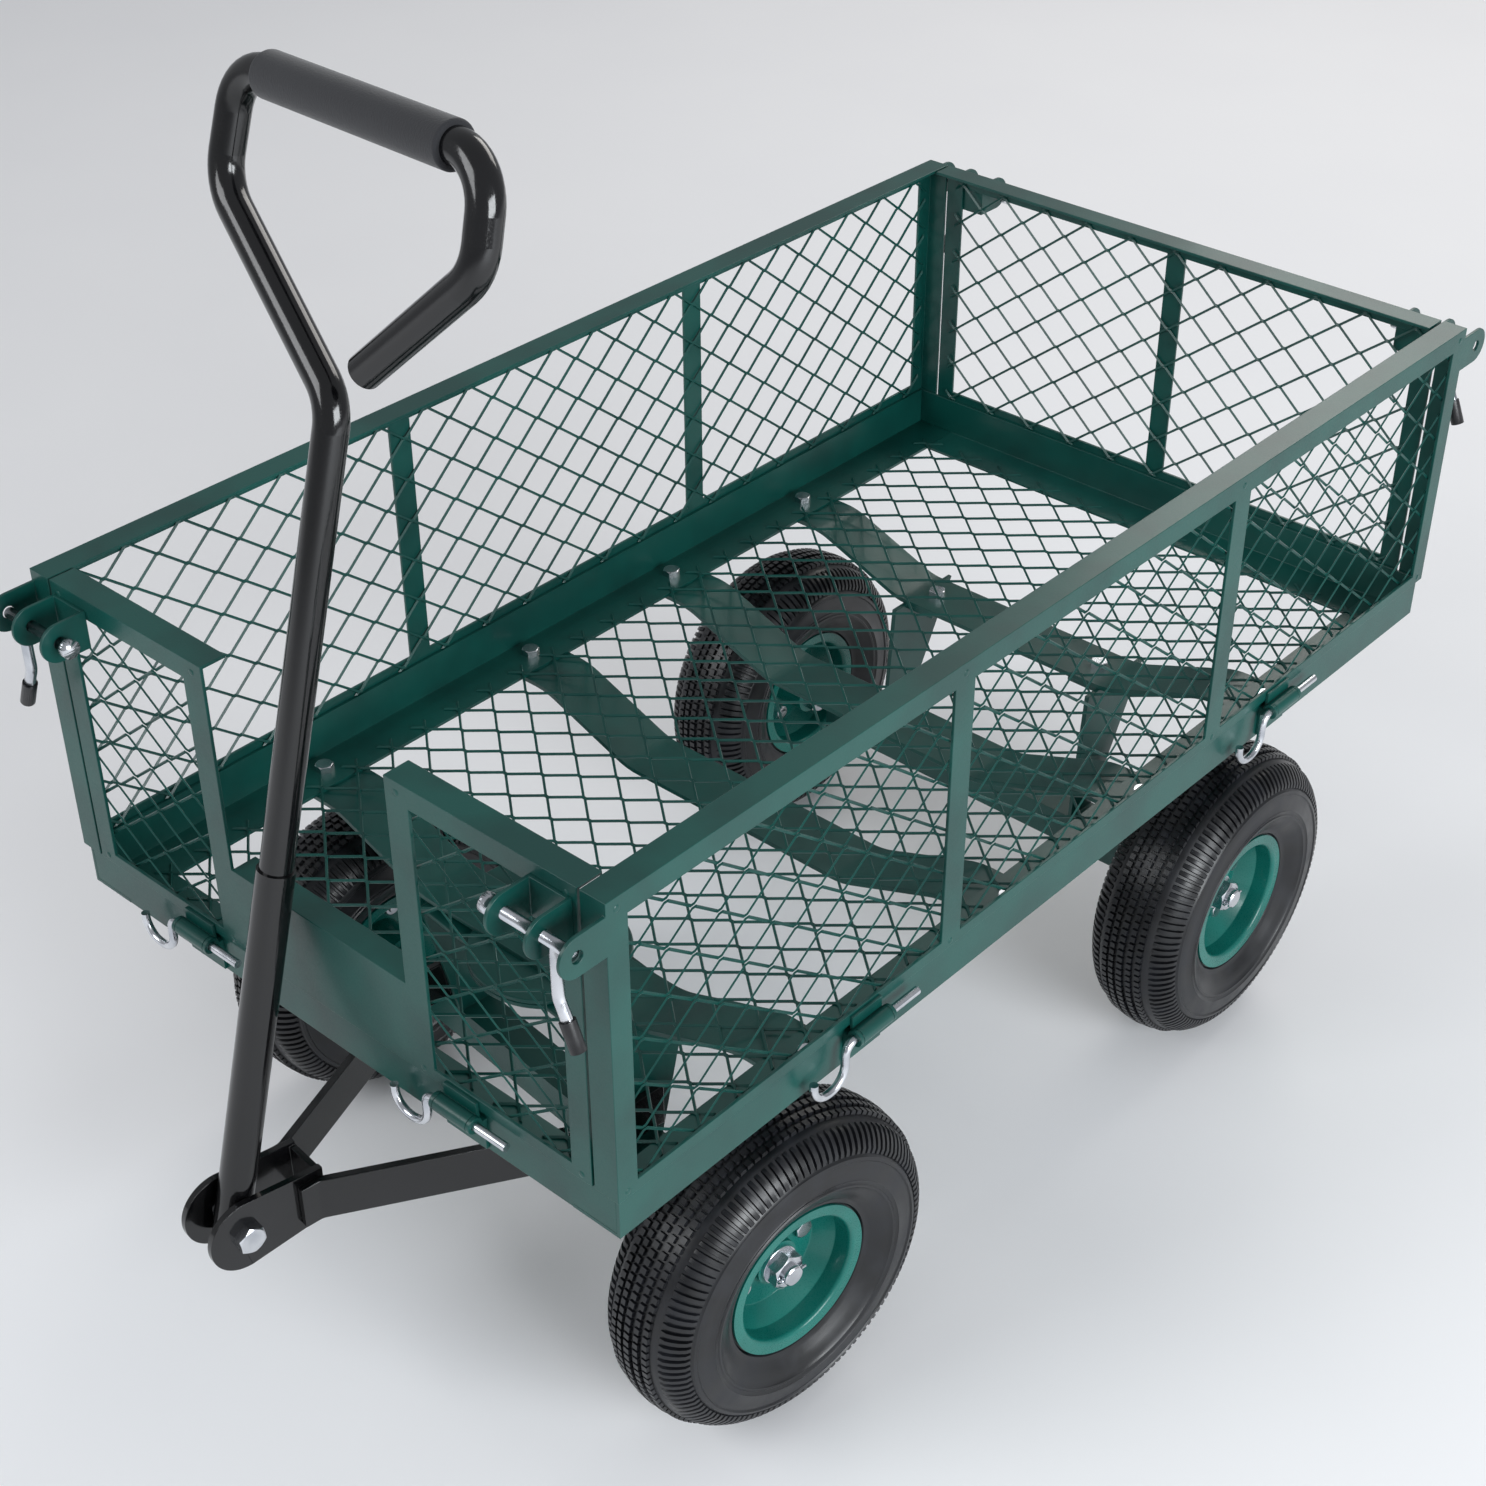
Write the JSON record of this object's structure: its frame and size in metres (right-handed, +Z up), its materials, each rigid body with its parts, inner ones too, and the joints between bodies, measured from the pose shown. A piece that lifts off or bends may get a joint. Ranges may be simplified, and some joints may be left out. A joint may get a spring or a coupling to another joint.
{
  "type": "garden cart",
  "caption": "Steel mesh garden cart with folding side panels held by corner latches, pneumatic tyres, a steered front axle on a turntable and a D-grip pull handle on a tongue",
  "frame": {"origin": "on the ground under the middle of the whole footprint, tongue and rear latches included", "axes": "+X to the cart's right, +Y to the rear along its length, +Z up; the handle is at -Y"},
  "size_m": [0.5676, 1.0993, 0.9151],
  "materials": {
    "green": "dark green powder coat, satin gloss",
    "black": "black gloss powder coat",
    "zinc": "bright zinc plate",
    "tyre": "black moulded tyre rubber",
    "grip": "charcoal foam sleeve"
  },
  "bodies": {
    "bed": {"deck_side_rails": "green", "deck_end_rails": "green", "floor_mesh": "green", "cross_member_front": "green", "cross_member_front_middle": "green", "cross_member_rear_middle": "green", "cross_member_rear": "green", "chassis_bolts": "zinc", "deck_hinge_brackets": "green", "hinge_pins": "zinc", "rear_axle_beam": "green", "rear_axle_shaft": "zinc", "rear_axle_nuts": "zinc", "turntable_plate": "green", "kingpin": "zinc"},
    "front_axle": {"steering_plate": "green", "front_axle_beam": "green", "front_axle_shaft": "zinc", "front_axle_nuts": "zinc", "tongue_bar_left": "black", "tongue_bar_right": "black", "tongue_clevis": "black", "handle_pivot_bolt": "zinc"},
    "handle": {"handle_stem": "black", "handle_loop": "black", "handle_grip": "grip"},
    "right_panel": {"right_panel_frame": "green", "right_panel_mesh": "green", "right_panel_hinges": "green"},
    "left_panel": {"left_panel_frame": "green", "left_panel_mesh": "green", "left_panel_hinges": "green"},
    "rear_panel": {"rear_panel_frame": "green", "rear_panel_mesh": "green", "rear_panel_hinges": "green", "rear_latch_brackets": "green"},
    "front_panel": {"front_panel_frame": "green", "front_panel_mesh": "green", "front_panel_hinges": "green", "front_latch_brackets": "green"},
    "front_left_wheel": {"front_left_tyre": "tyre", "front_left_rim": "green", "front_left_hub": "green", "front_left_rim_bolts": "zinc"},
    "front_right_wheel": {"front_right_tyre": "tyre", "front_right_rim": "green", "front_right_hub": "green", "front_right_rim_bolts": "zinc"},
    "rear_left_wheel": {"rear_left_tyre": "tyre", "rear_left_rim": "green", "rear_left_hub": "green", "rear_left_rim_bolts": "zinc"},
    "rear_right_wheel": {"rear_right_tyre": "tyre", "rear_right_rim": "green", "rear_right_hub": "green", "rear_right_rim_bolts": "zinc"},
    "latch_front_left": {"latch_front_left": "zinc"},
    "latch_front_right": {"latch_front_right": "zinc"},
    "latch_rear_left": {"latch_rear_left": "zinc"},
    "latch_rear_right": {"latch_rear_right": "zinc"}
  },
  "joints": [
    {"name": "steering", "type": "hinge", "parent": "bed", "child": "front_axle", "pos_m": [0, -0.24531, 0.26], "axis": [0, 0, 1], "range_deg": [-6, 18.4]},
    {"name": "front_left_wheel_spin", "type": "hinge", "parent": "front_axle", "child": "front_left_wheel", "pos_m": [-0.23064, -0.22025, 0.127], "axis": [0.9942, -0.108, 0], "continuous": true},
    {"name": "front_right_wheel_spin", "type": "hinge", "parent": "front_axle", "child": "front_right_wheel", "pos_m": [0.23064, -0.27037, 0.127], "axis": [0.9942, -0.108, 0], "continuous": true},
    {"name": "rear_left_wheel_spin", "type": "hinge", "parent": "bed", "child": "rear_left_wheel", "pos_m": [-0.232, 0.27869, 0.127], "axis": [1, 0, 0], "continuous": true},
    {"name": "rear_right_wheel_spin", "type": "hinge", "parent": "bed", "child": "rear_right_wheel", "pos_m": [0.232, 0.27869, 0.127], "axis": [1, 0, 0], "continuous": true},
    {"name": "handle_tilt", "type": "hinge", "parent": "front_axle", "child": "handle", "pos_m": [-0.02992, -0.52069, 0.175], "axis": [0.9942, -0.108, 0], "range_deg": [0, 110]},
    {"name": "right_panel_fold", "type": "hinge", "parent": "bed", "child": "right_panel", "pos_m": [0.272, 0.03469, 0.325], "axis": [0, 1, 0], "range_deg": [0, 120]},
    {"name": "left_panel_fold", "type": "hinge", "parent": "bed", "child": "left_panel", "pos_m": [-0.272, 0.03469, 0.325], "axis": [0, -1, 0], "range_deg": [0, 120]},
    {"name": "rear_panel_fold", "type": "hinge", "parent": "bed", "child": "rear_panel", "pos_m": [0, 0.51969, 0.325], "axis": [-1, 0, 0], "range_deg": [0, 180]},
    {"name": "front_panel_fold", "type": "hinge", "parent": "bed", "child": "front_panel", "pos_m": [0, -0.45031, 0.325], "axis": [1, 0, 0], "range_deg": [0, 3]},
    {"name": "latch_front_left_slide", "type": "slide", "parent": "front_panel", "child": "latch_front_left", "axis": [-1, 0, 0], "range_m": [0, 0.007]},
    {"name": "latch_front_right_slide", "type": "slide", "parent": "front_panel", "child": "latch_front_right", "axis": [1, 0, 0], "range_m": [0, 0.007]},
    {"name": "latch_rear_left_slide", "type": "slide", "parent": "rear_panel", "child": "latch_rear_left", "axis": [-1, 0, 0], "range_m": [0, 0.007]},
    {"name": "latch_rear_right_slide", "type": "slide", "parent": "rear_panel", "child": "latch_rear_right", "axis": [1, 0, 0], "range_m": [0, 0.007]}
  ]
}
